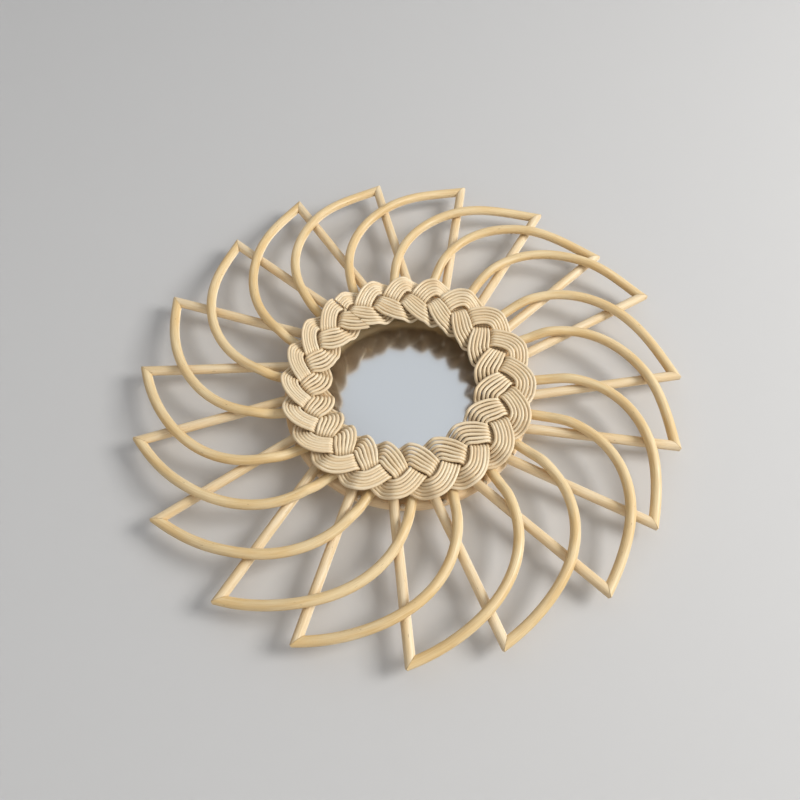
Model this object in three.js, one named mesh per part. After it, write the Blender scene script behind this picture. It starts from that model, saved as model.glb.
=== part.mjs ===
// Rattan sunburst wall mirror: nineteen petals of bent and straight rod on a wooden hoop,
// with a three-strand cane plait round a small mirror glass.
// Millimetres, +Z up. The mirror faces -Y and its flat back lies in the plane Y = 0.
// The origin is the centre of the back, on the backing board.

import * as THREE from 'three';

// Clearance between pieces that touch
const GAP = 0.3;

// Petals: each has a straight spoke and a bent arc, mitred together at the tip
const PETALS = 19;
const ROD_DIAMETER = 9.6;
const ROD_SIDES = 8;
const TIP_RADIUS = 261;
const TIP_BLUNTING = 6;
const ROD_LEAD = 24.5;
const FIRST_TIP = -8;
const SPOKE_LEAN = 5.5;
const PETALS_SPANNED = 2;
const FOOT_SPACING = 13.4;
const ARC_BOW = 46;
const BOW_NEAR_TIP = 0.37;
const BOW_NEAR_FOOT = 0.79;
const ARC_FOOT_LIFT = 4.6;
const ARC_END_LIFT = 2;
const FALL_DELAY = 0.06;
const ARC_STEPS = 11;

// The petals are set by hand. Clockwise from the top, how far each tip and each spoke's foot
// strays from its even bearing, in degrees
const TIP_STRAY = [1, 3, 4, 3, -1.5, 0.5, -1.5, -2, -4, -0.5, -1.5, 1, -1, 1, 0.5, -1.5, -1.5, 0.5, 0];
const FOOT_STRAY = [3, 2.5, 2, 1.5, -1.5, 1, -0.5, -2, -2.5, -1, -1.5, -1, -0.5, -1, 0, -0.5, 0, 0.5, 2];
// and how much further out its tip reaches, and how much more its arc bows, in percent
const REACH_STRAY = [0, 1, 0, -1, 3, 1.5, -0.5, -0.5, 0.5, -2, -1, -1, 0.5, 0.5, -0.5, -0.5, 0, -1.5, 1];
const BOW_STRAY = [7, -2, -2, 9, 3, 6, 8, 12, 13, 8, -3, -4, -12, -11, -13, -8, -10, -2, -9];

// Base hoop, which carries the rods, with the glass and its board in a rebate at the back
const HOOP_OUTER_RADIUS = 121.5;
const FEET_OUTSIDE_HOOP = 8.5;
const OPENING_RADIUS = 91;
const HOOP_THICKNESS = 12;
const HOOP_FRONT_ROUNDING = 5;
const HOOP_BACK_ROUNDING = 3;
const REBATE_WIDTH = 7;
const BOARD_THICKNESS = 6.4;
const GLASS_THICKNESS = 3;

// Inner hoop, a round rod that carries the plait
const INNER_HOOP_DIAMETER = 12;
const INNER_HOOP_RADIUS = 97;

// Plait: three strands, each of six canes side by side
const STRANDS = 3;
const LOBES = 20;
const CANE_DIAMETER = 3.4;
const STRAND_WIDTH = 17.2;
const PLAIT_RADIUS = 96.5;
const PLAIT_SWING = 17.2;
const CROSSING_LIFT = 3.8;
const CROSSING_SHIFT = 13;
const CROSSING_SOFTNESS = 5.5;
const TURN_SOFTNESS = 0.45;
const TURN_DELAY = 8;
const PLAIT_TILT = 0.055;
const STEPS_PER_LOBE = 6;

// The plait closes at a straight seam, which slants across it
const SEAM_BEARING = -35.6;
const SEAM_SLANT = 13.4;
const SEAM_GAP = 0.6;

// It was laid by hand: its lobes are stretched on one side and crowded after the seam,
// and the inner ones run ahead or behind and reach in more or less
const FIRST_LOBE = -39;
const LOBE_STRETCH = 5.5;
const STRETCH_START = 24;
const CROWDING = 7;
const CROWDING_END = 75;
const INNER_LEAD = 3.5;
const INNER_DRAW = 3;
const INNER_DRAW_START = -30;

const RATTAN = { color: 0xe6c98f, roughness: 0.55, metalness: 0 };
const CANE = { color: 0xe3cda3, roughness: 0.6, metalness: 0 };
const PALE_WOOD = { color: 0xdcc19a, roughness: 0.65, metalness: 0 };
const BOARD = { color: 0xb98e5f, roughness: 0.8, metalness: 0 };
const MIRROR = { color: 0xc9ced3, roughness: 0.03, metalness: 1 };

const FULL_TURN = 360;
const rodRadius = ROD_DIAMETER / 2;
const petalPitch = FULL_TURN / PETALS;
const footRadius = HOOP_OUTER_RADIUS + FEET_OUTSIDE_HOOP;
const spokeDepth = HOOP_THICKNESS + GAP + rodRadius;
const overLift = ROD_DIAMETER + GAP;

const mirror = new THREE.Group();

function addPiece(name, geometry, finish) {
  const mesh = new THREE.Mesh(geometry, new THREE.MeshStandardMaterial(finish));
  mesh.name = name;
  mirror.add(mesh);
}

// A bearing runs clockwise from straight up, as seen from the front, in degrees
function spot(radius, bearing, depth) {
  const angle = THREE.MathUtils.degToRad(bearing);
  return new THREE.Vector3(radius * Math.sin(angle), -depth, radius * Math.cos(angle));
}

function flatSpot(radius, bearing) {
  const place = spot(radius, bearing, 0);
  return new THREE.Vector2(place.x, place.z);
}

function smoothStep(share) {
  return THREE.MathUtils.smoothstep(share, 0, 1);
}

// Rods

const stray = (list, petal) => list[((petal % PETALS) + PETALS) % list.length];
const evenBearing = (petal) => FIRST_TIP + petal * petalPitch;
const tipBearing = (petal) => evenBearing(petal) + stray(TIP_STRAY, petal);
const tipRadius = (petal) => TIP_RADIUS * (1 + stray(REACH_STRAY, petal) / 100);
const footBearing = (petal) => evenBearing(petal) + SPOKE_LEAN + stray(FOOT_STRAY, petal);
const arcBow = (petal) => ARC_BOW * (1 + stray(BOW_STRAY, petal) / 100);

function rodSection() {
  const corners = [];
  for (let side = 0; side < ROD_SIDES; side++) {
    const angle = (side + 0.5) * 2 * Math.PI / ROD_SIDES;
    corners.push(new THREE.Vector2(rodRadius * Math.cos(angle), rodRadius * Math.sin(angle)));
  }
  return new THREE.Shape(corners);
}

// Cuts the tip end of a rod along the mitre plane and blunts the point that the cut leaves
function mitre(geometry, tip, along, mitreNormal, outward) {
  const place = geometry.attributes.position;
  const corner = new THREE.Vector3();
  for (let i = 0; i < place.count; i++) {
    corner.fromBufferAttribute(place, i).sub(tip);
    if (Math.abs(corner.dot(along)) > 1e-3) continue;
    const slide = (GAP / 2 - corner.dot(mitreNormal)) / along.dot(mitreNormal);
    corner.addScaledVector(along, slide);
    const spare = corner.dot(outward) - TIP_BLUNTING;
    if (spare > 0) corner.addScaledVector(outward, -spare);
    corner.add(tip);
    place.setXYZ(i, corner.x, corner.y, corner.z);
  }
}

function rodAlong(path, steps) {
  return new THREE.ExtrudeGeometry(rodSection(), { steps, bevelEnabled: false, extrudePath: path });
}

// Share of the arc's length at which it passes over a spoke
function crossingShare(points, petal) {
  const foot = flatSpot(footRadius, footBearing(petal));
  const run = flatSpot(tipRadius(petal), tipBearing(petal)).sub(foot);
  const side = (point) => Math.sign(run.cross(point.clone().sub(foot)));
  const crossed = points.findIndex((point) => side(point) !== side(points[0]));
  return crossed / (points.length - 1);
}

// The arc leaves the tip level with its spoke, rides over the next spoke and the one after,
// and comes down beside the latter at the hoop
function arcPath(petal) {
  const tip = flatSpot(tipRadius(petal), tipBearing(petal));
  const besideAngle = THREE.MathUtils.radToDeg(FOOT_SPACING / footRadius);
  const foot = flatSpot(footRadius, footBearing(petal - PETALS_SPANNED) - besideAngle);
  const chord = foot.clone().sub(tip);
  const outward = new THREE.Vector2(chord.y, -chord.x).normalize();
  if (outward.dot(tip) < 0) outward.negate();
  const handleHeight = arcBow(petal) * 4 / 3;
  const handle = (share) => tip.clone().addScaledVector(chord, share)
    .addScaledVector(outward, handleHeight);
  const bend = new THREE.CubicBezierCurve(tip, handle(BOW_NEAR_TIP), handle(BOW_NEAR_FOOT), foot);
  const flat = bend.getSpacedPoints(4 * ARC_STEPS);
  const risen = crossingShare(flat, petal - 1);
  const falling = crossingShare(flat, petal - PETALS_SPANNED) + FALL_DELAY;
  const points = flat.map((point, index) => {
    const share = index / (flat.length - 1);
    const rise = smoothStep(share / risen);
    const fall = smoothStep((share - falling) / (1 - falling));
    const lift = overLift * rise - (overLift - ARC_FOOT_LIFT) * fall;
    return new THREE.Vector3(point.x, -spokeDepth - lift, point.y);
  });
  const inner = foot.clone().addScaledVector(bend.getTangent(1), ROD_LEAD);
  points.push(new THREE.Vector3(inner.x, -spokeDepth - ARC_END_LIFT, inner.y));
  return new THREE.CatmullRomCurve3(points);
}

function spokePath(petal) {
  const tip = spot(tipRadius(petal), tipBearing(petal), spokeDepth);
  const foot = spot(footRadius, footBearing(petal), spokeDepth);
  const inward = foot.clone().sub(tip).normalize();
  return new THREE.LineCurve3(tip, foot.addScaledVector(inward, ROD_LEAD));
}

function addPetal(petal) {
  const label = String(petal + 1).padStart(2, '0');
  const spokeLine = spokePath(petal);
  const arcLine = arcPath(petal);
  const tip = spokeLine.getPoint(0);
  const alongSpoke = spokeLine.getTangent(0);
  const alongArc = arcLine.getTangent(0);
  const spokeSide = alongSpoke.clone().sub(alongArc).normalize();
  const arcSide = spokeSide.clone().negate();
  const outward = alongSpoke.clone().add(alongArc).normalize().negate();
  const spoke = rodAlong(spokeLine, 1);
  mitre(spoke, tip, alongSpoke, spokeSide, outward);
  const arc = rodAlong(arcLine, ARC_STEPS);
  mitre(arc, tip, alongArc, arcSide, outward);
  addPiece(`petal_spoke_${label}`, spoke, RATTAN);
  addPiece(`petal_arc_${label}`, arc, RATTAN);
}

for (let petal = 0; petal < PETALS; petal++) addPetal(petal);

// Hoops, glass and board are turned round the axis that runs from back to front

const ROUNDING_STEPS = 2;

function roundedCorner(radius, depth, towardsRadius, towardsDepth, rounding, startsOnFace) {
  const corners = [];
  for (let step = 0; step <= ROUNDING_STEPS; step++) {
    const share = startsOnFace ? step : ROUNDING_STEPS - step;
    const angle = share / ROUNDING_STEPS * Math.PI / 2;
    const r = radius + towardsRadius * rounding * (1 - Math.sin(angle));
    const d = depth + towardsDepth * rounding * (1 - Math.cos(angle));
    corners.push(new THREE.Vector2(r, -d));
  }
  return corners;
}

function turned(profile, segments) {
  return new THREE.LatheGeometry(profile, segments);
}

function disc(radius, backDepth, thickness, segments) {
  return turned([
    new THREE.Vector2(0, -backDepth - thickness),
    new THREE.Vector2(radius, -backDepth - thickness),
    new THREE.Vector2(radius, -backDepth),
    new THREE.Vector2(0, -backDepth),
  ], segments);
}

const HOOP_SEGMENTS = 32;
const rebateRadius = OPENING_RADIUS + REBATE_WIDTH;
const glassDepth = BOARD_THICKNESS + GAP;
const rebateDepth = glassDepth + GLASS_THICKNESS + GAP;

addPiece('base_hoop', turned([
  new THREE.Vector2(rebateRadius, 0),
  new THREE.Vector2(rebateRadius, -rebateDepth),
  new THREE.Vector2(OPENING_RADIUS, -rebateDepth),
  ...roundedCorner(OPENING_RADIUS, HOOP_THICKNESS, 1, -1, 1, false),
  ...roundedCorner(HOOP_OUTER_RADIUS, HOOP_THICKNESS, -1, -1, HOOP_FRONT_ROUNDING, true),
  ...roundedCorner(HOOP_OUTER_RADIUS, 0, -1, 1, HOOP_BACK_ROUNDING, false),
  new THREE.Vector2(rebateRadius, 0),
], HOOP_SEGMENTS), PALE_WOOD);

addPiece('mirror_glass', disc(rebateRadius - GAP, glassDepth, GLASS_THICKNESS, HOOP_SEGMENTS), MIRROR);
addPiece('backing_board', disc(rebateRadius - GAP, 0, BOARD_THICKNESS, HOOP_SEGMENTS), BOARD);

const innerHoopSection = [];
const innerHoopDepth = HOOP_THICKNESS + GAP + INNER_HOOP_DIAMETER / 2;
for (let side = 0; side <= ROD_SIDES; side++) {
  const angle = side * 2 * Math.PI / ROD_SIDES;
  innerHoopSection.push(new THREE.Vector2(
    INNER_HOOP_RADIUS + INNER_HOOP_DIAMETER / 2 * Math.cos(angle),
    -innerHoopDepth + INNER_HOOP_DIAMETER / 2 * Math.sin(angle),
  ));
}
addPiece('inner_hoop', turned(innerHoopSection, HOOP_SEGMENTS), RATTAN);

// Plait: a strand swings from the outer edge to the inner edge and back over three lobes.
// Going inwards it dives under the last strand and then climbs over the next.

const lobePitch = FULL_TURN / LOBES;
const swingsPerTurn = LOBES / STRANDS;
const caneRadius = CANE_DIAMETER / 2;
const innerHoopTop = HOOP_THICKNESS + GAP + INNER_HOOP_DIAMETER;
const restOnInnerHoop = innerHoopTop + PLAIT_TILT * (PLAIT_RADIUS - INNER_HOOP_RADIUS);
const restOnArcFeet = spokeDepth + ARC_FOOT_LIFT + rodRadius - PLAIT_TILT * (footRadius - PLAIT_RADIUS);
const plaitDepth = Math.max(restOnInnerHoop, restOnArcFeet) + GAP + CROSSING_LIFT + caneRadius;

// One strand's section: share of its half width, and which face, for each corner
const STRAND_SECTION = [[-1, 0], [-0.5, 1], [0.5, 1], [1, 0], [0.5, -1], [-0.5, -1]];

function stretched(turn) {
  const start = THREE.MathUtils.degToRad(STRETCH_START);
  const angle = THREE.MathUtils.degToRad(turn) - start;
  return turn + LOBE_STRETCH * (Math.cos(start) - Math.cos(angle));
}

// A strand's place in its swing, in radians, from one outer lobe to its next
function swingPhase(strand, turn) {
  return THREE.MathUtils.degToRad((turn - strand * lobePitch) * swingsPerTurn);
}

function overOrUnder(offset, phase) {
  const delayed = phase - THREE.MathUtils.degToRad(TURN_DELAY);
  const across = (offset + CROSSING_SHIFT * Math.cos(phase)) / CROSSING_SOFTNESS;
  const inward = Math.sin(delayed) / TURN_SOFTNESS;
  const eased = (value) => 2 * THREE.MathUtils.smoothstep(value, -1, 1) - 1;
  return -CROSSING_LIFT * eased(across) * eased(inward);
}

// The place at a distance beside a strand's middle line, measured square to that line
function besideStrand(strand, turn, distance) {
  const phase = swingPhase(strand, turn);
  const radius = PLAIT_RADIUS + PLAIT_SWING * Math.cos(phase);
  const climb = -PLAIT_SWING * swingsPerTurn * Math.sin(phase);
  const run = Math.hypot(radius, climb);
  const outward = radius + distance * radius / run;
  const onward = -distance * climb / run;
  return {
    offset: Math.hypot(outward, onward) - PLAIT_RADIUS,
    turn: turn + THREE.MathUtils.radToDeg(Math.atan2(onward, outward)),
  };
}

// Moves a point of the even plait to where it lies in the plait as it was laid
function laid(offset, turn, depth) {
  const angle = THREE.MathUtils.degToRad(turn);
  const inner = (1 - offset / PLAIT_SWING) / 2;
  const crowded = CROWDING * (1 - THREE.MathUtils.smoothstep(turn, 0, CROWDING_END));
  const lead = INNER_LEAD * (Math.sin(angle) + Math.sin(2 * angle)) * inner;
  const drawn = INNER_DRAW * Math.cos(angle - THREE.MathUtils.degToRad(INNER_DRAW_START)) * inner;
  return spot(PLAIT_RADIUS + offset + drawn, FIRST_LOBE + stretched(turn) + crowded + lead, depth);
}

function strandSpot(strand, turn, distance, face) {
  const place = besideStrand(strand, turn, distance);
  const lift = overOrUnder(place.offset, swingPhase(strand, place.turn));
  return laid(place.offset, place.turn, plaitDepth + PLAIT_TILT * place.offset + lift + face * caneRadius);
}

const seamMiddle = spot(PLAIT_RADIUS, SEAM_BEARING, 0);
const acrossSeam = spot(1, SEAM_BEARING - SEAM_SLANT + 90, 0);

// The turn at which the line at a distance beside a strand's middle meets the seam
function turnAtSeam(strand, distance, around, clearance) {
  let before = around - lobePitch;
  let after = around + lobePitch;
  for (let halving = 0; halving < 30; halving++) {
    const middle = (before + after) / 2;
    const beyond = strandSpot(strand, middle, distance, 0).sub(seamMiddle).dot(acrossSeam);
    if (beyond < clearance) before = middle;
    else after = middle;
  }
  return after;
}

// One strand's rings run from the seam to the seam. Near its ends a ring slants as the seam does
function strandRings(strand) {
  const lines = STRAND_SECTION.map(([across, face]) => {
    const distance = across * STRAND_WIDTH / 2;
    const first = turnAtSeam(strand, distance, 0, SEAM_GAP / 2);
    const beyond = turnAtSeam(strand, distance, FULL_TURN, -SEAM_GAP / 2) - FULL_TURN;
    return { distance, face, first, beyond };
  });
  const fade = (lobes) => Math.max(0, 1 - lobes) ** 2;
  const rings = [];
  for (let step = 0; step <= LOBES * STEPS_PER_LOBE; step++) {
    const lobes = step / STEPS_PER_LOBE;
    rings.push(lines.map((line) => {
      const slant = line.first * fade(lobes) + line.beyond * fade(LOBES - lobes);
      return strandSpot(strand, lobes * lobePitch + slant, line.distance, line.face);
    }));
  }
  return rings;
}

// A closed body through a row of rings, capped at both ends
function loft(rings) {
  const corners = rings[0].length;
  const triangles = [];
  for (let ring = 0; ring < rings.length - 1; ring++) {
    for (let corner = 0; corner < corners; corner++) {
      const here = ring * corners + corner;
      const beside = ring * corners + (corner + 1) % corners;
      triangles.push(here, here + corners, beside);
      triangles.push(beside, here + corners, beside + corners);
    }
  }
  const last = (rings.length - 1) * corners;
  for (let corner = 1; corner < corners - 1; corner++) {
    triangles.push(0, corner, corner + 1);
    triangles.push(last, last + corner + 1, last + corner);
  }
  const geometry = new THREE.BufferGeometry();
  geometry.setAttribute('position', new THREE.Float32BufferAttribute(
    rings.flat().flatMap((point) => [point.x, point.y, point.z]), 3,
  ));
  geometry.setIndex(triangles);
  return geometry;
}

for (let strand = 0; strand < STRANDS; strand++) {
  addPiece(`plait_strand_${strand + 1}`, loft(strandRings(strand)), CANE);
}

export default mirror;
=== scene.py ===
# %% [markdown]
# # A rattan sunburst mirror
# This lesson dresses a small wall mirror made of rattan. Nineteen petals of bent and
# straight rod swirl round a wooden hoop, and a plait of cane frames a round glass.
# The fixed frame comes first: it holds each piece at its real size and place, so all
# that follows only has to look right. Lengths are in metres. The mirror hangs on a
# wall, faces -Y, and its back is the plane Y = 0.

# %% Load the frame
import math
import bpy
import numpy as np
from mathutils import Matrix, Vector, noise


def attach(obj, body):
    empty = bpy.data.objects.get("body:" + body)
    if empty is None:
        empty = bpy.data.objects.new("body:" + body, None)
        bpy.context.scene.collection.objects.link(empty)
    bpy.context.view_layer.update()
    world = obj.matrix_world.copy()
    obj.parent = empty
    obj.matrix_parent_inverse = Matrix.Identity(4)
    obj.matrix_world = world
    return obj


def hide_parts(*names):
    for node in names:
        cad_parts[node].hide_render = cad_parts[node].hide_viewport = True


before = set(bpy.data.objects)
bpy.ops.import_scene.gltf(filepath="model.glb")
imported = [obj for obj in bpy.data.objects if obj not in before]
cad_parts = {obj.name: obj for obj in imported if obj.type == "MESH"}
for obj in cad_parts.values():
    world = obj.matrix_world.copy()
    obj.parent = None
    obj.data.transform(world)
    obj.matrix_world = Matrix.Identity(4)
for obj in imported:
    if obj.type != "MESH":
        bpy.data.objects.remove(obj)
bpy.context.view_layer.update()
MM = 0.001

# %% [markdown]
# ## The view
# The picture was taken from the side that is the bottom when the mirror hangs, about
# sixty degrees up from the plane of the petals. So here the camera stands low in front
# of the wall and looks up. Its place was fitted to the ring of tips in the picture. Many
# lenses fit that ring equally well, so the lens is a choice.

# %% Camera
VIEW_PLACE = Vector((-0.0071, -0.6678, -0.3640))
VIEW_RISE = math.radians(118.345)
VIEW_ROLL = math.radians(-0.33)
LENS_MM = 34.2
SENSOR_MM = 36
NEAREST_SEEN = 0.01

eye = bpy.data.objects.new("eye", bpy.data.cameras.new("eye"))
bpy.context.scene.collection.objects.link(eye)
eye.data.lens = LENS_MM
eye.data.sensor_width = SENSOR_MM
eye.data.clip_start = NEAREST_SEEN
turned = Matrix.Rotation(VIEW_RISE, 4, "X") @ Matrix.Rotation(VIEW_ROLL, 4, "Z")
eye.matrix_world = Matrix.Translation(VIEW_PLACE) @ turned
bpy.context.scene.camera = eye
print("camera at", tuple(round(v, 3) for v in VIEW_PLACE))

# %% [markdown]
# ## Wall, floor and light
# A pale wall stands close behind, so that the petals throw soft shadows on it, as they
# do on anything they lie on. Seen from behind it must not hide the back, so its
# material lets the view through from that side, and it takes no part in lighting the
# mirror. The light is a large soft window on the right, a weak fill, and a lamp behind
# that serves the views of the back. The air is pale above and on the right, and dim and
# warm behind, so that undersides fall into shade.

# %% Stage
STAGE_SIZE = 12
WALL_DISTANCE = 0.0015
FLOOR_HEIGHT = -1.6
WALL_COLOUR = (0.60, 0.60, 0.60)
FLOOR_COLOUR = (0.74, 0.73, 0.71)


def stage_plane(name, place, tilt):
    bpy.ops.object.select_all(action="DESELECT")
    bpy.ops.mesh.primitive_plane_add(size=STAGE_SIZE, location=place, rotation=(tilt, 0, 0))
    plane = bpy.context.active_object
    plane.name = name
    return plane


def stage_paint(name, colour, one_sided):
    paint = bpy.data.materials.new(name)
    paint.use_nodes = True
    tree = paint.node_tree
    shader = tree.nodes["Principled BSDF"]
    shader.inputs["Base Color"].default_value = (*colour, 1)
    shader.inputs["Roughness"].default_value = 0.9
    if one_sided:
        side = tree.nodes.new("ShaderNodeNewGeometry")
        clear = tree.nodes.new("ShaderNodeBsdfTransparent")
        choose = tree.nodes.new("ShaderNodeMixShader")
        tree.links.new(side.outputs["Backfacing"], choose.inputs[0])
        tree.links.new(shader.outputs[0], choose.inputs[1])
        tree.links.new(clear.outputs[0], choose.inputs[2])
        tree.links.new(choose.outputs[0], tree.nodes["Material Output"].inputs[0])
    return paint


wall = stage_plane("pale_wall", (0, WALL_DISTANCE, 0), math.radians(90))
wall.data.materials.append(stage_paint("wall_paint", WALL_COLOUR, True))
wall.visible_diffuse = False
wall.visible_shadow = False
floor = stage_plane("pale_floor", (0, 0, FLOOR_HEIGHT), 0)
floor.data.materials.append(stage_paint("floor_paint", FLOOR_COLOUR, False))
print("stage:", wall.name, floor.name)


# %% Lights
def soft_lamp(name, place, size, watts, colour):
    lamp = bpy.data.objects.new(name, bpy.data.lights.new(name, "AREA"))
    bpy.context.scene.collection.objects.link(lamp)
    lamp.data.size = size
    lamp.data.energy = watts
    lamp.data.color = colour
    lamp.location = place
    lamp.rotation_euler = (-Vector(place)).to_track_quat("-Z", "Y").to_euler()
    return lamp


window = soft_lamp("window_light", (2.0, -1.6, 0.0), 1.0, 40, (1.0, 0.98, 0.95))
fill = soft_lamp("fill_light", (-1.0, -2.0, -1.2), 2.0, 6, (0.97, 0.98, 1.0))
behind = soft_lamp("back_light", (1.2, 1.8, 0.8), 2.0, 45, (1.0, 1.0, 1.0))
print("lamps:", window.name, fill.name, behind.name)

# %% Two helpers for nodes
def spread(tree, value, low, high):
    """Rises softly from nothing to one between two values."""
    level = tree.nodes.new("ShaderNodeMapRange")
    level.interpolation_type = "SMOOTHSTEP"
    level.inputs["From Min"].default_value = low
    level.inputs["From Max"].default_value = high
    tree.links.new(value, level.inputs["Value"])
    return level.outputs[0]


def mixed(tree, share, first, second):
    mix = tree.nodes.new("ShaderNodeMix")
    mix.data_type = "RGBA"
    for socket, value in ((mix.inputs["A"], first), (mix.inputs["B"], second)):
        if isinstance(value, tuple):
            socket.default_value = (*value, 1)
        else:
            tree.links.new(value, socket)
    tree.links.new(share, mix.inputs["Factor"])
    return mix.outputs["Result"]


print("helpers:", spread.__name__, mixed.__name__)

# %% Sky
TOWARDS_LIGHT = (0.76, 0, 0.65)
TOWARDS_WALL = (0, 1, 0)
DIM_AIR = (0.20, 0.17, 0.15)
PALE_AIR = (0.52, 0.535, 0.55)
AIR_BEHIND = (0.06, 0.03, 0.018)
sky = bpy.data.worlds.new("plain_studio")
bpy.context.scene.world = sky
sky.use_nodes = True
air = sky.node_tree


def air_ramp(direction, low, high):
    """Rises from nothing to one as the view turns towards a direction."""
    towards = air.nodes.new("ShaderNodeTexCoord")
    along = air.nodes.new("ShaderNodeVectorMath")
    along.operation = "DOT_PRODUCT"
    along.inputs[1].default_value = direction
    air.links.new(towards.outputs["Generated"], along.inputs[0])
    return spread(air, along.outputs["Value"], low, high)


in_front = mixed(air, air_ramp(TOWARDS_LIGHT, -0.65, 0.15), DIM_AIR, PALE_AIR)
all_round = mixed(air, air_ramp(TOWARDS_WALL, -0.15, 0.25), in_front, AIR_BEHIND)
air.links.new(all_round, air.nodes["Background"].inputs["Color"])
bpy.context.scene.view_settings.view_transform = "Standard"
bpy.context.scene.view_settings.look = "Medium High Contrast"
print("sky:", sky.name)

# %% [markdown]
# ## Long grain
# Rattan is a climbing palm. Its fibres run the whole length of a rod with hardly a
# twist, so every finish here follows the stick it is on, whichever way that bends. Each
# vertex therefore stores where it would be if its stick were straight: along the
# length, and across. One group reads that place and gives three masks: the fine
# fibres, broad changes of tone and a few dark nicks.

# %% Grain group
STRAIGHT = "straightened"


def new_group(name, inputs, outputs):
    group = bpy.data.node_groups.new(name, "ShaderNodeTree")
    for label, kind, value in inputs:
        socket = group.interface.new_socket(label, in_out="INPUT", socket_type=kind)
        if value is not None:
            socket.default_value = value
    for label in outputs:
        group.interface.new_socket(label, in_out="OUTPUT", socket_type="NodeSocketFloat")
    return group, group.nodes.new("NodeGroupInput"), group.nodes.new("NodeGroupOutput")


def stretched_noise(tree, place, along, across, detail, seed):
    stretch = tree.nodes.new("ShaderNodeVectorMath")
    stretch.operation = "MULTIPLY"
    stretch.inputs[1].default_value = (along, across, across)
    tree.links.new(place, stretch.inputs[0])
    speckle = tree.nodes.new("ShaderNodeTexNoise")
    speckle.noise_dimensions = "4D"
    speckle.inputs["W"].default_value = seed
    speckle.inputs["Scale"].default_value = 1.0
    speckle.inputs["Detail"].default_value = detail
    tree.links.new(stretch.outputs[0], speckle.inputs["Vector"])
    return speckle.outputs[0]


grain, grain_in, grain_out = new_group(
    "long_grain", [("Place", "NodeSocketVector", None)], ["Fibre", "Tone", "Nick"])
place = grain_in.outputs["Place"]
fibre = stretched_noise(grain, place, 38, 1300, 4, 0.0)
tone = stretched_noise(grain, place, 22, 150, 3, 3.0)
nick = stretched_noise(grain, place, 150, 800, 2, 7.0)
grain.links.new(spread(grain, fibre, 0.30, 0.70), grain_out.inputs["Fibre"])
grain.links.new(spread(grain, tone, 0.35, 0.68), grain_out.inputs["Tone"])
grain.links.new(spread(grain, nick, 0.67, 0.76), grain_out.inputs["Nick"])
print("group:", grain.name)

# %% [markdown]
# ## Finishes
# The rods are peeled, sanded and left without stain, so they are a warm cream with
# honey-coloured fibres and a low sheen. Those that were bent over heat are a little
# yellower. The cane is the core of the same palm, a shade paler and drier. The hoop is
# pale wood. All are the same few steps with their own colours, so one function lays
# them. Sides that face the wall get painted shade, a darker brown, as little light reaches them.

# %% Wood finishes
NICK_COLOUR = (0.22, 0.12, 0.05)
NICK_STRENGTH = 0.55
# painted shade: the dark brown given to sides that face the wall
PAINTED_SHADE_COLOUR = (0.15, 0.042, 0.014)
FIBRE_ROUGHNESS = 0.12
WOOD_BUMP = 0.5


def scaled(tree, value, factor, offset=0.0):
    sum_node = tree.nodes.new("ShaderNodeMath")
    sum_node.operation = "MULTIPLY_ADD"
    sum_node.inputs[1].default_value = factor
    sum_node.inputs[2].default_value = offset
    tree.links.new(value, sum_node.inputs[0])
    return sum_node.outputs[0]


def painted_shade_mask(tree):
    """White on the sides that face the wall, where the painted shade goes."""
    facing = tree.nodes.new("ShaderNodeNewGeometry")
    axes = tree.nodes.new("ShaderNodeSeparateXYZ")
    tree.links.new(facing.outputs["Normal"], axes.inputs[0])
    return spread(tree, axes.outputs["Y"], -0.15, 0.65)


# behind: how much painted shade the sides that face the wall get
def wood_finish(name, pale, honey, fibre_colour, fibre_strength, roughness, relief, behind):
    paint = bpy.data.materials.new(name)
    paint.use_nodes = True
    tree = paint.node_tree
    shader = tree.nodes["Principled BSDF"]
    where = tree.nodes.new("ShaderNodeAttribute")
    where.attribute_name = STRAIGHT
    masks = tree.nodes.new("ShaderNodeGroup")
    masks.node_tree = grain
    tree.links.new(where.outputs["Vector"], masks.inputs["Place"])
    base = mixed(tree, masks.outputs["Tone"], pale, honey)
    fibre = masks.outputs["Fibre"]
    streaked = mixed(tree, scaled(tree, fibre, fibre_strength), base, fibre_colour)
    nicks = scaled(tree, masks.outputs["Nick"], NICK_STRENGTH)
    nicked = mixed(tree, nicks, streaked, NICK_COLOUR)
    # painted shade: sides that face the wall are mixed towards dark brown
    with_painted_shade = mixed(tree, scaled(tree, painted_shade_mask(tree), behind), nicked, PAINTED_SHADE_COLOUR)
    tree.links.new(with_painted_shade, shader.inputs["Base Color"])
    tree.links.new(scaled(tree, fibre, FIBRE_ROUGHNESS, roughness), shader.inputs["Roughness"])
    bump = tree.nodes.new("ShaderNodeBump")
    bump.inputs["Strength"].default_value = WOOD_BUMP
    bump.inputs["Distance"].default_value = relief
    tree.links.new(fibre, bump.inputs["Height"])
    tree.links.new(bump.outputs["Normal"], shader.inputs["Normal"])
    return paint


straight_rod = wood_finish(
    "straight_rod", pale=(0.87, 0.74, 0.53), honey=(0.80, 0.63, 0.39),
    fibre_colour=(0.60, 0.41, 0.20), fibre_strength=0.36, roughness=0.38, relief=0.00018, behind=0.2)
bent_rod = wood_finish(
    "bent_rod", pale=(0.84, 0.69, 0.44), honey=(0.77, 0.57, 0.30),
    fibre_colour=(0.58, 0.37, 0.15), fibre_strength=0.36, roughness=0.38, relief=0.00018, behind=0.2)
cane_core = wood_finish(
    "cane_core", pale=(0.88, 0.76, 0.56), honey=(0.81, 0.65, 0.43),
    fibre_colour=(0.60, 0.41, 0.22), fibre_strength=0.26, roughness=0.42, relief=0.00012, behind=0.3)
pale_wood = wood_finish(
    "pale_wood", pale=(0.86, 0.70, 0.47), honey=(0.76, 0.57, 0.35),
    fibre_colour=(0.56, 0.36, 0.18), fibre_strength=0.32, roughness=0.50, relief=0.00015, behind=0.1)
print("finishes:", straight_rod.name, bent_rod.name, cane_core.name, pale_wood.name)

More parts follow.
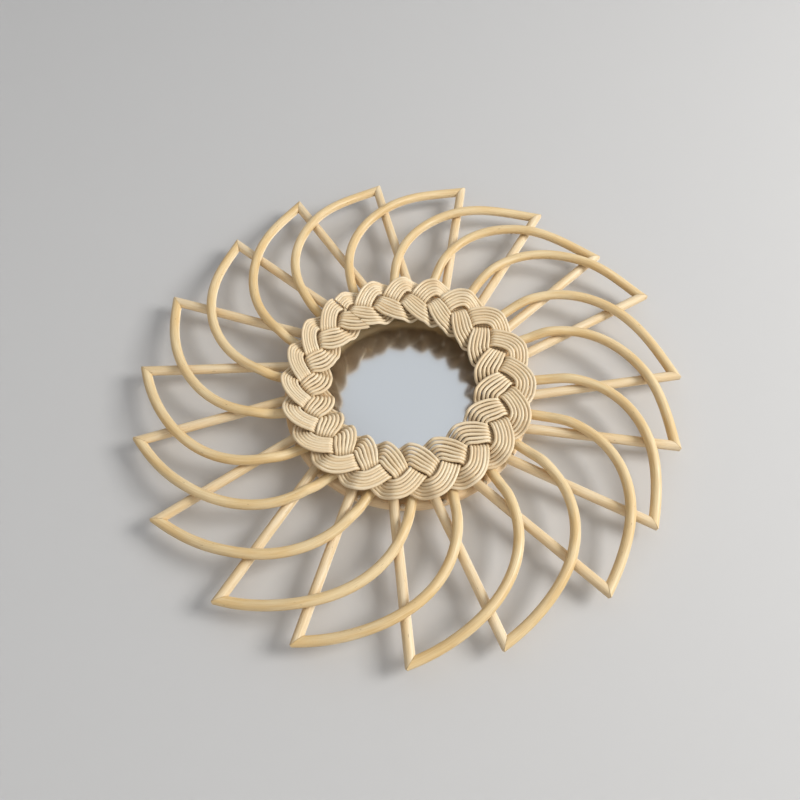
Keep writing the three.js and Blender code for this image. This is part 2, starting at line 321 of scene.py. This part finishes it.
# %% [markdown]
# ## Hardboard
# The back is closed with plain brown hardboard. It has no grain. It is pressed from
# fibres that lie every way, so it is mottled, finely and broadly, and quite matt.


# %% Board finish
BOARD_BROWN = (0.36, 0.20, 0.10)
BOARD_DARK = (0.27, 0.14, 0.07)
BOARD_FIBRE = (0.50, 0.32, 0.18)


def mottle(tree, size, detail, low, high):
    where = tree.nodes.new("ShaderNodeTexCoord")
    speckle = tree.nodes.new("ShaderNodeTexNoise")
    speckle.inputs["Scale"].default_value = size
    speckle.inputs["Detail"].default_value = detail
    tree.links.new(where.outputs["Object"], speckle.inputs["Vector"])
    return spread(tree, speckle.outputs[0], low, high)


hardboard = bpy.data.materials.new("hardboard")
hardboard.use_nodes = True
tree = hardboard.node_tree
shader = tree.nodes["Principled BSDF"]
broad = mixed(tree, mottle(tree, 24, 3, 0.35, 0.65), BOARD_BROWN, BOARD_DARK)
fibres = mottle(tree, 900, 4, 0.40, 0.70)
pressed = mixed(tree, scaled(tree, fibres, 0.5), broad, BOARD_FIBRE)
tree.links.new(pressed, shader.inputs["Base Color"])
shader.inputs["Roughness"].default_value = 0.75
nap = tree.nodes.new("ShaderNodeBump")
nap.inputs["Strength"].default_value = 0.4
nap.inputs["Distance"].default_value = 0.0002
tree.links.new(fibres, nap.inputs["Height"])
tree.links.new(nap.outputs["Normal"], shader.inputs["Normal"])
print("finish:", hardboard.name)

# %% [markdown]
# ## A stick of rattan
# A rod is not a perfect tube. Its thickness changes a little, peeling leaves faint
# flats, and heat bending leaves it very slightly wavy. A curve with a bevel would be
# perfectly even, so the skin is built ring by ring along the route instead, and the
# straightened place of each vertex is stored as it goes. Sticks are stored two metres
# apart, so that no two have the same grain.

# %% Sticks
STICK_SPACING = 2.0
SIDEWAYS_REACH = 0.05
UPWARD_REACH = 0.06
THICKNESS_REACH = 0.07
FLATS_PER_METRE = 12
FLATS_ROUND = 2.2


def ring_frames(route):
    ahead = np.gradient(route, axis=0)
    ahead /= np.linalg.norm(ahead, axis=1)[:, None]
    side = np.cross(ahead[0], (0.0, 1.0, 0.0))
    sides = []
    for direction in ahead:
        side = side - direction * side.dot(direction)
        side = side / np.linalg.norm(side)
        sides.append(side)
    sides = np.array(sides)
    return ahead, sides, np.cross(ahead, sides)


def smooth_wander(length, reach, seed, amount):
    """A slow, repeatable drift along a stick, one value for each distance in length."""
    return np.array([amount * noise.noise((s / reach, seed * 7.31, seed * 1.7)) for s in length])


def stick_skin(route, radius, sides_count, seed, uneven=0.02, wavy=0.0003, flats=0.012):
    steps = np.linalg.norm(np.diff(route, axis=0), axis=1)
    along = np.concatenate([[0], np.cumsum(steps)])
    ahead, right, up = ring_frames(route)
    drift = smooth_wander(along, SIDEWAYS_REACH, seed, wavy)[:, None] * right
    drift += smooth_wander(along, UPWARD_REACH, seed + 50, wavy)[:, None] * up
    size = radius * (1 + smooth_wander(along, THICKNESS_REACH, seed + 90, uneven))
    angles = np.arange(sides_count) * 2 * math.pi / sides_count
    points, straight = [], []
    for i, s in enumerate(along):
        for angle in angles:
            x, y = math.cos(angle), math.sin(angle)
            flat = flats * noise.noise((s * FLATS_PER_METRE, FLATS_ROUND * x + seed, FLATS_ROUND * y))
            reach = size[i] * (1 + flat)
            points.append(route[i] + drift[i] + reach * (x * right[i] + y * up[i]))
            straight.append((s + seed * STICK_SPACING, reach * x, reach * y))
    count = len(along)
    faces = []
    for i in range(count - 1):
        for j in range(sides_count):
            a, b = i * sides_count + j, i * sides_count + (j + 1) % sides_count
            faces.append((a, b, b + sides_count, a + sides_count))
    faces.append(tuple(range(sides_count))[::-1])
    faces.append(tuple(range((count - 1) * sides_count, count * sides_count)))
    return points, faces, straight


def make_piece(name, skins, finish):
    points, faces, straight = [], [], []
    for skin_points, skin_faces, skin_straight in skins:
        start = len(points)
        points += skin_points
        straight += skin_straight
        faces += [tuple(start + corner for corner in face) for face in skin_faces]
    mesh = bpy.data.meshes.new(name)
    mesh.from_pydata([tuple(p) for p in points], [], faces)
    stored = mesh.attributes.new(STRAIGHT, "FLOAT_VECTOR", "POINT")
    stored.data.foreach_set("vector", np.array(straight, dtype=np.float32).ravel())
    mesh.materials.append(finish)
    piece = bpy.data.objects.new(name, mesh)
    bpy.context.scene.collection.objects.link(piece)
    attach(piece, "root")
    return piece


def pick(*pieces):
    """Selects these pieces alone and makes the first one active."""
    bpy.ops.object.select_all(action="DESELECT")
    for piece in pieces:
        piece.select_set(True)
    bpy.context.view_layer.objects.active = pieces[0]


def smooth_shade(piece, degrees=40):
    pick(piece)
    bpy.ops.object.shade_smooth_by_angle(angle=math.radians(degrees))


print("stick tools ready")

# %% [markdown]
# ## The routes of the petals
# Each petal is a straight spoke and a bent arc that meet at the tip. The arc leaves the
# tip level with its spoke, rides over the next spoke and the one after, and comes down
# beside the latter at the hoop. The petals were set by eye, so small differences from
# an even swirl are listed once, clockwise from the top.

# %% Sizes of the petals
PETALS = 19
ROD_RADIUS = 4.8 * MM
GAP = 0.3 * MM
TIP_RADIUS = 261 * MM
TIP_BLUNTING = 6 * MM
HOOP_OUTER_RADIUS = 121.5 * MM
HOOP_THICKNESS = 12 * MM
FOOT_RADIUS = HOOP_OUTER_RADIUS + 8.5 * MM
ROD_LEAD = 24.5 * MM
FIRST_TIP = -8
SPOKE_LEAN = 5.5
PETALS_SPANNED = 2
FOOT_SPACING = 13.4 * MM
ARC_BOW = 46 * MM
BOW_NEAR_TIP = 0.37
BOW_NEAR_FOOT = 0.79
ARC_FOOT_LIFT = 4.6 * MM
ARC_END_LIFT = 2 * MM
FALL_DELAY = 0.06
TIP_STRAY = [1, 3, 4, 3, -1.5, 0.5, -1.5, -2, -4, -0.5, -1.5, 1, -1, 1, 0.5, -1.5, -1.5, 0.5, 0]
FOOT_STRAY = [3, 2.5, 2, 1.5, -1.5, 1, -0.5, -2, -2.5, -1, -1.5, -1, -0.5, -1, 0, -0.5, 0, 0.5, 2]
REACH_STRAY = [0, 1, 0, -1, 3, 1.5, -0.5, -0.5, 0.5, -2, -1, -1, 0.5, 0.5, -0.5, -0.5, 0, -1.5, 1]
BOW_STRAY = [7, -2, -2, 9, 3, 6, 8, 12, 13, 8, -3, -4, -12, -11, -13, -8, -10, -2, -9]
spoke_depth = HOOP_THICKNESS + GAP + ROD_RADIUS
over_lift = 2 * ROD_RADIUS + GAP
print("depth of the spokes:", round(spoke_depth, 4))


# %% Routes
BEND_SAMPLES = 400
ARC_POINTS = 81
SPOKE_POINTS = 60
LEAD_POINTS = 12


def flat_spot(radius, bearing):
    """A point of the petals' plane. Bearings run clockwise from straight up, in degrees."""
    angle = math.radians(bearing)
    return np.array((radius * math.sin(angle), radius * math.cos(angle)))


def even_bearing(petal):
    return FIRST_TIP + petal * 360 / PETALS


def tip_spot(petal):
    reach = TIP_RADIUS * (1 + REACH_STRAY[petal % PETALS] / 100)
    return flat_spot(reach, even_bearing(petal) + TIP_STRAY[petal % PETALS])


def foot_bearing(petal):
    return even_bearing(petal) + SPOKE_LEAN + FOOT_STRAY[petal % PETALS]


def foot_spot(petal):
    return flat_spot(FOOT_RADIUS, foot_bearing(petal))


def eased(share):
    share = np.clip(share, 0, 1)
    return share * share * (3 - 2 * share)


def cross_flat(a, b):
    return a[..., 0] * b[..., 1] - a[..., 1] * b[..., 0]


def crossing_share(points, petal):
    foot = foot_spot(petal)
    side = np.sign(cross_flat(tip_spot(petal) - foot, points - foot))
    return np.argmax(side != side[0]) / (len(points) - 1)


def evenly_spaced(points, count):
    run = np.concatenate([[0], np.cumsum(np.linalg.norm(np.diff(points, axis=0), axis=1))])
    at = np.linspace(0, run[-1], count)
    columns = [np.interp(at, run, points[:, axis]) for axis in range(points.shape[1])]
    return np.stack(columns, axis=1)


def standing(points, lift):
    return np.stack([points[:, 0], -spoke_depth - lift, points[:, 1]], axis=1)


def arc_route(petal):
    tip = tip_spot(petal)
    beside = math.degrees(FOOT_SPACING / FOOT_RADIUS)
    foot = flat_spot(FOOT_RADIUS, foot_bearing(petal - PETALS_SPANNED) - beside)
    chord = foot - tip
    outward = np.array((chord[1], -chord[0])) / np.linalg.norm(chord)
    if outward.dot(tip) < 0:
        outward = -outward
    height = ARC_BOW * (1 + BOW_STRAY[petal % PETALS] / 100) * 4 / 3
    near_tip = tip + chord * BOW_NEAR_TIP + outward * height
    near_foot = tip + chord * BOW_NEAR_FOOT + outward * height
    t = np.linspace(0, 1, BEND_SAMPLES)[:, None]
    bend = (1 - t) ** 3 * tip + 3 * (1 - t) ** 2 * t * near_tip
    bend = bend + 3 * (1 - t) * t ** 2 * near_foot + t ** 3 * foot
    bend = evenly_spaced(bend, ARC_POINTS)
    risen = crossing_share(bend, petal - 1)
    falling = crossing_share(bend, petal - PETALS_SPANNED) + FALL_DELAY
    share = np.linspace(0, 1, len(bend))
    lift = over_lift * eased(share / risen)
    lift = lift - (over_lift - ARC_FOOT_LIFT) * eased((share - falling) / (1 - falling))
    inward = (bend[-1] - bend[-2]) / np.linalg.norm(bend[-1] - bend[-2])
    lead = bend[-1] + inward * np.linspace(0, ROD_LEAD, LEAD_POINTS)[1:, None]
    lead_lift = np.linspace(ARC_FOOT_LIFT, ARC_END_LIFT, LEAD_POINTS)[1:]
    return standing(np.vstack([bend, lead]), np.concatenate([lift, lead_lift]))


def spoke_route(petal):
    tip, foot = tip_spot(petal), foot_spot(petal)
    inward = (foot - tip) / np.linalg.norm(foot - tip)
    far = np.linalg.norm(foot - tip) + ROD_LEAD
    points = tip + inward * np.linspace(0, far, SPOKE_POINTS)[:, None]
    return standing(points, np.zeros(SPOKE_POINTS))


print("first tip:", tip_spot(0), "first foot:", foot_spot(0))

# %% [markdown]
# ## Mitred tips
# At a tip the two rods are sawn on one slanting plane and glued, and the long point
# that leaves is trimmed. So each rod is first made too long, and then sawn twice: on
# the plane between the two rods, with a hair of clearance that shows as the dark line
# of the joint, and square across the point.

# %% Petals
OVERLONG = 22 * MM
END_STRETCH = 48 * MM
MITRE_CLEARANCE = 0.12 * MM
ROD_SIDES = 20
FIRST_ARC_SEED = 40
OVERLONG_POINTS = 8


def lengthened(route):
    back = route[0] - route[1]
    back = back / np.linalg.norm(back)
    extra = route[0] + back * np.linspace(OVERLONG, 0, OVERLONG_POINTS)[:-1, None]
    return np.vstack([extra, route])


def select_stretch(piece, low, high):
    """Selects the part of a stick between two distances along it."""
    mesh = piece.data
    stored = np.empty(len(mesh.vertices) * 3, dtype=np.float32)
    mesh.attributes[STRAIGHT].data.foreach_get("vector", stored)
    along = stored[0::3] - stored[0::3].min()
    chosen = (along >= low) & (along <= high)
    pick(piece)
    bpy.ops.object.mode_set(mode="EDIT")
    bpy.ops.mesh.select_mode(type="VERT")
    bpy.ops.mesh.select_all(action="DESELECT")
    bpy.ops.object.mode_set(mode="OBJECT")
    mesh.vertices.foreach_set("select", chosen)
    bpy.ops.object.mode_set(mode="EDIT")
    bpy.ops.mesh.select_mode(type="VERT")


def saw(piece, place, facing, low, high):
    """Saws one stretch of a stick on a plane, drops what lies beyond and closes the cut."""
    select_stretch(piece, low, high)
    bpy.ops.mesh.bisect(plane_co=place, plane_no=facing, use_fill=True, clear_outer=True)
    bpy.ops.object.mode_set(mode="OBJECT")


def unit(vector):
    return vector / np.linalg.norm(vector)


def make_petal(petal):
    label = f"{petal + 1:02d}"
    spoke_line, arc_line = spoke_route(petal), arc_route(petal)
    tip = spoke_line[0]
    along_spoke = unit(spoke_line[1] - tip)
    along_arc = unit(arc_line[1] - tip)
    outward = -unit(along_spoke + along_arc)
    between = unit(along_spoke - along_arc)
    blunt = tip + outward * TIP_BLUNTING
    spoke = ("spoke", spoke_line, between, petal, straight_rod)
    arc = ("arc", arc_line, -between, petal + FIRST_ARC_SEED, bent_rod)
    for kind, line, away, seed, finish in (spoke, arc):
        skin = stick_skin(lengthened(line), ROD_RADIUS, ROD_SIDES, seed)
        rod = make_piece(f"rod_{kind}_{label}", [skin], finish)
        saw(rod, tip + away * MITRE_CLEARANCE, -away, 0, END_STRETCH)
        saw(rod, blunt, outward, 0, END_STRETCH)
        smooth_shade(rod)
        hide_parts(f"petal_{kind}_{label}")


for petal in range(PETALS):
    make_petal(petal)
print("petals:", PETALS)

# %% [markdown]
# ## The plait
# Three strands of six canes are plaited round the glass, as hair is. A strand swings
# from the outer edge to the inner edge and back. On its way in it dives under the
# strand before, and then climbs over the next one. The canes of a strand spread where
# they turn and close up where they cross.

# %% Sizes of the plait
STRANDS = 3
CANES = 6
LOBES = 20
CANE_RADIUS = 1.6 * MM
SOLID_HALF_THICKNESS = 1.7 * MM
PLAIT_RADIUS = 96.5 * MM
PLAIT_SWING = 17.2 * MM
CROSSING_LIFT = 3.8 * MM
CROSSING_SHIFT = 13 * MM
CROSSING_SOFTNESS = 5.5 * MM
TURN_SOFTNESS = 0.45
TURN_DELAY = 13
LOOSENING = 1.6
PLAIT_TILT = 0.055
SPREAD_AT_OUTER_TURNS = 7.7 * MM
SPREAD_AT_INNER_TURNS = 9.4 * MM
SPREAD_AT_CROSSINGS = 7.2 * MM
STRAY_AT_TURNS = 0.55 * MM
STRAY_AT_CROSSINGS = 0.15 * MM
INNER_HOOP_RADIUS = 97 * MM
INNER_HOOP_THICKNESS = 12 * MM
lobe_pitch = 360 / LOBES
inner_hoop_top = HOOP_THICKNESS + GAP + INNER_HOOP_THICKNESS
on_inner_hoop = inner_hoop_top + PLAIT_TILT * (PLAIT_RADIUS - INNER_HOOP_RADIUS)
on_arc_feet = spoke_depth + ARC_FOOT_LIFT + ROD_RADIUS - PLAIT_TILT * (FOOT_RADIUS - PLAIT_RADIUS)
plait_depth = max(on_inner_hoop, on_arc_feet) + GAP + CROSSING_LIFT
plait_depth += SOLID_HALF_THICKNESS
print("plait depth:", round(plait_depth, 4))


# %% One line of the even plait
def swing_phase(strand, turn):
    return math.radians((turn - strand * lobe_pitch) * LOBES / STRANDS)


def eased_both_ways(value):
    return 2 * float(eased((value + 1) / 2)) - 1


def over_or_under(offset, phase):
    across = (offset + CROSSING_SHIFT * math.cos(phase)) / CROSSING_SOFTNESS
    inward = math.sin(phase - math.radians(TURN_DELAY)) / TURN_SOFTNESS
    return -CROSSING_LIFT * eased_both_ways(across) * eased_both_ways(inward)


def beside_strand(strand, turn, distance):
    """The place at a distance beside a strand's middle line, square to that line."""
    phase = swing_phase(strand, turn)
    radius = PLAIT_RADIUS + PLAIT_SWING * math.cos(phase)
    climb = -PLAIT_SWING * LOBES / STRANDS * math.sin(phase)
    run = math.hypot(radius, climb)
    outward = radius + distance * radius / run
    onward = -distance * climb / run
    offset = math.hypot(outward, onward) - PLAIT_RADIUS
    return offset, turn + math.degrees(math.atan2(onward, outward))


print("outer turn at:", round(PLAIT_RADIUS + beside_strand(0, 0, 0)[0], 4))

# %% [markdown]
# ## Laid by hand
# A real plait is never quite even. This one's lobes are stretched on one side and
# crowded after the seam, and the inner ones run ahead or behind. So every point of the
# even plait is moved a little, always the same way for the same place.

# %% The plait as it was laid
FIRST_LOBE = -39
LOBE_STRETCH = 5.5
STRETCH_START = 24
CROWDING = 7
CROWDING_END = 75
INNER_LEAD = 3.5
INNER_DRAW = 3 * MM
INNER_DRAW_START = -30


def stretched(turn):
    start = math.radians(STRETCH_START)
    return turn + LOBE_STRETCH * (math.cos(start) - math.cos(math.radians(turn) - start))


def laid(offset, turn, depth):
    angle = math.radians(turn)
    inner = (1 - offset / PLAIT_SWING) / 2
    crowded = CROWDING * (1 - float(eased(turn / CROWDING_END)))
    lead = INNER_LEAD * (math.sin(angle) + math.sin(2 * angle)) * inner
    drawn = INNER_DRAW * math.cos(angle - math.radians(INNER_DRAW_START)) * inner
    flat = flat_spot(PLAIT_RADIUS + offset + drawn, FIRST_LOBE + stretched(turn) + crowded + lead)
    return flat[0], -depth, flat[1]


def half_spread(outwards):
    """Half the width of a strand, for a swing that runs from 1, outside, to -1, inside."""
    if outwards > 0:
        wider = SPREAD_AT_OUTER_TURNS - SPREAD_AT_CROSSINGS
        return SPREAD_AT_CROSSINGS + wider * outwards ** 2
    loosened = min(1, -outwards * LOOSENING)
    wider = SPREAD_AT_INNER_TURNS - SPREAD_AT_CROSSINGS
    return SPREAD_AT_CROSSINGS + wider * float(eased(loosened))


print("one full turn carries the plait to:", round(stretched(360) - stretched(0)))

# %% The route of one cane
OVERRUN = 14
CANE_STEP = 1.5 * MM
CANE_LIFT = 0.45 * MM
SAMPLES_PER_LOBE = 40
STRAY_REACH = 12
LIFT_REACH = 10


def cane_route(strand, cane):
    seed = strand * CANES + cane
    place_in_strand = (cane - (CANES - 1) / 2) / ((CANES - 1) / 2)
    points = []
    for turn in np.linspace(-OVERRUN, 360 + OVERRUN, LOBES * SAMPLES_PER_LOBE):
        outwards = math.cos(swing_phase(strand, turn))
        half = half_spread(outwards)
        room = STRAY_AT_CROSSINGS + (STRAY_AT_TURNS - STRAY_AT_CROSSINGS) * abs(outwards)
        stray = room * noise.noise((turn / STRAY_REACH, seed * 3.1, 0.5))
        lift = CANE_LIFT * noise.noise((turn / LIFT_REACH, seed * 3.1, 9.5))
        offset, where = beside_strand(strand, turn, place_in_strand * half + stray)
        height = over_or_under(offset, swing_phase(strand, where))
        points.append(laid(offset, where, plait_depth + PLAIT_TILT * offset + height + lift))
    route = np.array(points)
    length = np.linalg.norm(np.diff(route, axis=0), axis=1).sum()
    return evenly_spaced(route, int(length / CANE_STEP))


print("points along the first cane:", len(cane_route(0, 0)))

# %% [markdown]
# ## The seam
# The plait closes at a straight seam, which slants across it. Each cane is made a
# little too long at both ends and sawn on either side of the seam, like the rods at
# the tips, and then the six canes of a strand are joined to one piece.

# %% Canes
CANE_SIDES = 10
FIRST_CANE_SEED = 100
CANE_END_STRETCH = 60 * MM
SEAM_BEARING = -35.6
SEAM_SLANT = 13.4
SEAM_GAP = 0.5 * MM
seam_middle = flat_spot(PLAIT_RADIUS, SEAM_BEARING)
seam_middle = Vector((seam_middle[0], 0, seam_middle[1]))
across_seam = flat_spot(1, SEAM_BEARING - SEAM_SLANT + 90)
across_seam = Vector((across_seam[0], 0, across_seam[1]))


def seam_cut(piece, length):
    clearance = across_seam * SEAM_GAP / 2
    saw(piece, seam_middle + clearance, -across_seam, 0, CANE_END_STRETCH)
    saw(piece, seam_middle - clearance, across_seam, length - CANE_END_STRETCH, length)


def make_strand(strand):
    canes = []
    for cane in range(CANES):
        route = cane_route(strand, cane)
        length = np.linalg.norm(np.diff(route, axis=0), axis=1).sum()
        seed = FIRST_CANE_SEED + strand * CANES + cane
        skin = stick_skin(route, CANE_RADIUS, CANE_SIDES, seed, uneven=0.04, wavy=0.0001, flats=0.02)
        piece = make_piece(f"cane_{strand + 1}_{cane + 1}", [skin], cane_core)
        seam_cut(piece, length)
        canes.append(piece)
    pick(*canes)
    bpy.ops.object.join()
    canes[0].name = f"plait_canes_{strand + 1}"
    smooth_shade(canes[0], 50)
    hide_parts(f"plait_strand_{strand + 1}")


for strand in range(STRANDS):
    make_strand(strand)
print("plait canes:", STRANDS * CANES)

# %% [markdown]
# ## Hoops
# The base hoop is a flat wooden ring with softened edges, which the rods are fixed to.
# Its outline is drawn once as a section and spun round the middle. The inner hoop is
# one more rod bent into a ring, with its two ends butted together.

# %% Base hoop
OPENING_RADIUS = 91 * MM
REBATE_WIDTH = 7 * MM
BOARD_THICKNESS = 6.4 * MM
GLASS_THICKNESS = 3 * MM
FRONT_ROUNDING = 5 * MM
BACK_ROUNDING = 3 * MM
ROUND_STEPS = 144
SAME_PLACE = 0.02 * MM
CORNER_STEPS = 6
glass_depth = BOARD_THICKNESS + GAP
rebate_radius = OPENING_RADIUS + REBATE_WIDTH
rebate_depth = glass_depth + GLASS_THICKNESS + GAP


def rounded_corner(radius, depth, rounding, first, last):
    corners = []
    for step in range(CORNER_STEPS + 1):
        angle = math.radians(first + (last - first) * step / CORNER_STEPS)
        corners.append((radius + rounding * math.cos(angle), depth + rounding * math.sin(angle)))
    return corners


def spun(name, section, finish):
    """A ring from a section of (radius, depth) corners, spun round the middle of the mirror."""
    count = len(section)
    mesh = bpy.data.meshes.new(name)
    edges = [(i, (i + 1) % count) for i in range(count)]
    mesh.from_pydata([(r, -d, 0) for r, d in section], edges, [])
    piece = bpy.data.objects.new(name, mesh)
    bpy.context.scene.collection.objects.link(piece)
    pick(piece)
    bpy.ops.object.mode_set(mode="EDIT")
    bpy.ops.mesh.select_all(action="SELECT")
    bpy.ops.mesh.spin(steps=ROUND_STEPS, angle=2 * math.pi, center=(0, 0, 0), axis=(0, 1, 0))
    bpy.ops.mesh.select_all(action="SELECT")
    bpy.ops.mesh.remove_doubles(threshold=SAME_PLACE)
    bpy.ops.mesh.normals_make_consistent(inside=False)
    bpy.ops.object.mode_set(mode="OBJECT")
    store_ring_places(mesh)
    mesh.materials.append(finish)
    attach(piece, "root")
    return piece


def store_ring_places(mesh):
    stored = mesh.attributes.new(STRAIGHT, "FLOAT_VECTOR", "POINT")
    for vertex, slot in zip(mesh.vertices, stored.data):
        x, y, z = vertex.co
        slot.vector = (math.atan2(x, -z) * HOOP_OUTER_RADIUS, math.hypot(x, z), y)


section = [(rebate_radius, 0), (rebate_radius, rebate_depth), (OPENING_RADIUS, rebate_depth)]
section += rounded_corner(OPENING_RADIUS + MM, HOOP_THICKNESS - MM, MM, 180, 90)
section += rounded_corner(
    HOOP_OUTER_RADIUS - FRONT_ROUNDING, HOOP_THICKNESS - FRONT_ROUNDING, FRONT_ROUNDING, 90, 0)
section += rounded_corner(
    HOOP_OUTER_RADIUS - BACK_ROUNDING, BACK_ROUNDING, BACK_ROUNDING, 0, -90)
hoop = spun("hoop_wood", section, pale_wood)
smooth_shade(hoop, 35)
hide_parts("base_hoop")
print("base hoop vertices:", len(hoop.data.vertices))

# %% Inner hoop
INNER_JOINT_BEARING = 205
INNER_HOOP_POINTS = 220
INNER_HOOP_SEED = 80
ring_turns = np.linspace(0.1, 359.9, INNER_HOOP_POINTS)
ring_depth = HOOP_THICKNESS + GAP + INNER_HOOP_THICKNESS / 2
ring_points = []
for ring_turn in ring_turns:
    flat = flat_spot(INNER_HOOP_RADIUS, INNER_JOINT_BEARING + ring_turn)
    ring_points.append((flat[0], -ring_depth, flat[1]))
ring_skin = stick_skin(np.array(ring_points), INNER_HOOP_THICKNESS / 2, ROD_SIDES, INNER_HOOP_SEED)
ring = make_piece("rod_inner_hoop", [ring_skin], bent_rod)
smooth_shade(ring)
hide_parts("inner_hoop")
print("inner hoop vertices:", len(ring.data.vertices))

# %% [markdown]
# ## Drops of glue
# The rods are glued down on the hoop. Between the two rods of a pair a small pale drop
# was squeezed out and dried. No two are alike, so each starts as a ball, sunk partly
# into the hoop, and has its corners moved by noise.

# %% Glue
DROP_RADIUS = 2.3 * MM
DROP_PLACE = HOOP_OUTER_RADIUS - 1.5 * MM
DROP_DEPTH = HOOP_THICKNESS - 1.2 * MM
DROP_UNEVEN = 0.35
GLUE_PALE = (0.93, 0.89, 0.80)
GLUE_YELLOW = (0.82, 0.73, 0.57)

dry_glue = bpy.data.materials.new("dry_glue")
dry_glue.use_nodes = True
tree = dry_glue.node_tree
shader = tree.nodes["Principled BSDF"]
cloudy = mixed(tree, mottle(tree, 700, 2, 0.35, 0.65), GLUE_PALE, GLUE_YELLOW)
tree.links.new(cloudy, shader.inputs["Base Color"])
shader.inputs["Roughness"].default_value = 0.35


def glue_drop(petal):
    beside = math.degrees(FOOT_SPACING / FOOT_RADIUS)
    x, z = flat_spot(DROP_PLACE, foot_bearing(petal) - beside / 2)
    middle = (x, -DROP_DEPTH, z)
    bpy.ops.object.select_all(action="DESELECT")
    bpy.ops.mesh.primitive_ico_sphere_add(subdivisions=3, radius=DROP_RADIUS, location=middle)
    drop = bpy.context.active_object
    for vertex in drop.data.vertices:
        swell = noise.noise(vertex.co / DROP_RADIUS * 1.3 + Vector((petal * 3.7, 0, 0)))
        vertex.co *= 1 + DROP_UNEVEN * swell
    bpy.ops.object.transform_apply(location=True, rotation=True, scale=True)
    return drop


drops = [glue_drop(petal) for petal in range(PETALS)]
pick(*drops)
bpy.ops.object.join()
glue = drops[0]
glue.name = "glue_drops"
glue.data.materials.append(dry_glue)
smooth_shade(glue, 60)
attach(glue, "root")
print("glue drops:", PETALS)

# %% [markdown]
# ## Glass and back
# The glass is a plain disc with ground edges, silvered, so it is all mirror. A disc of
# brown board closes the rebate behind it. Both start as cylinders, turned to face the
# front, and get their edges eased with a bevel.

# %% Glass and board
def disc(name, radius, back, thickness, bevel, finish):
    bpy.ops.object.select_all(action="DESELECT")
    middle = (0, -back - thickness / 2, 0)
    bpy.ops.mesh.primitive_cylinder_add(
        vertices=ROUND_STEPS, radius=radius, depth=thickness,
        location=middle, rotation=(math.pi / 2, 0, 0))
    piece = bpy.context.active_object
    piece.name = name
    bpy.ops.object.transform_apply(location=True, rotation=True, scale=True)
    bpy.ops.object.mode_set(mode="EDIT")
    bpy.ops.mesh.select_all(action="SELECT")
    bpy.ops.mesh.edges_select_sharp(sharpness=math.radians(60))
    bpy.ops.mesh.bevel(offset=bevel, segments=2)
    bpy.ops.object.mode_set(mode="OBJECT")
    piece.data.materials.append(finish)
    smooth_shade(piece, 30)
    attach(piece, "root")
    return piece


silvering = bpy.data.materials.new("silvered_glass")
silvering.use_nodes = True
silver = silvering.node_tree.nodes["Principled BSDF"]
silver.inputs["Base Color"].default_value = (0.90, 0.92, 0.94, 1)
silver.inputs["Metallic"].default_value = 1.0
silver.inputs["Roughness"].default_value = 0.2

glass = disc("glass_disc", rebate_radius - GAP, glass_depth, GLASS_THICKNESS, 0.4 * MM, silvering)
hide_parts("mirror_glass")
board = disc("board_disc", rebate_radius - GAP, 0, BOARD_THICKNESS, 0.3 * MM, hardboard)
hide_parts("backing_board")
print("discs:", glass.name, board.name)
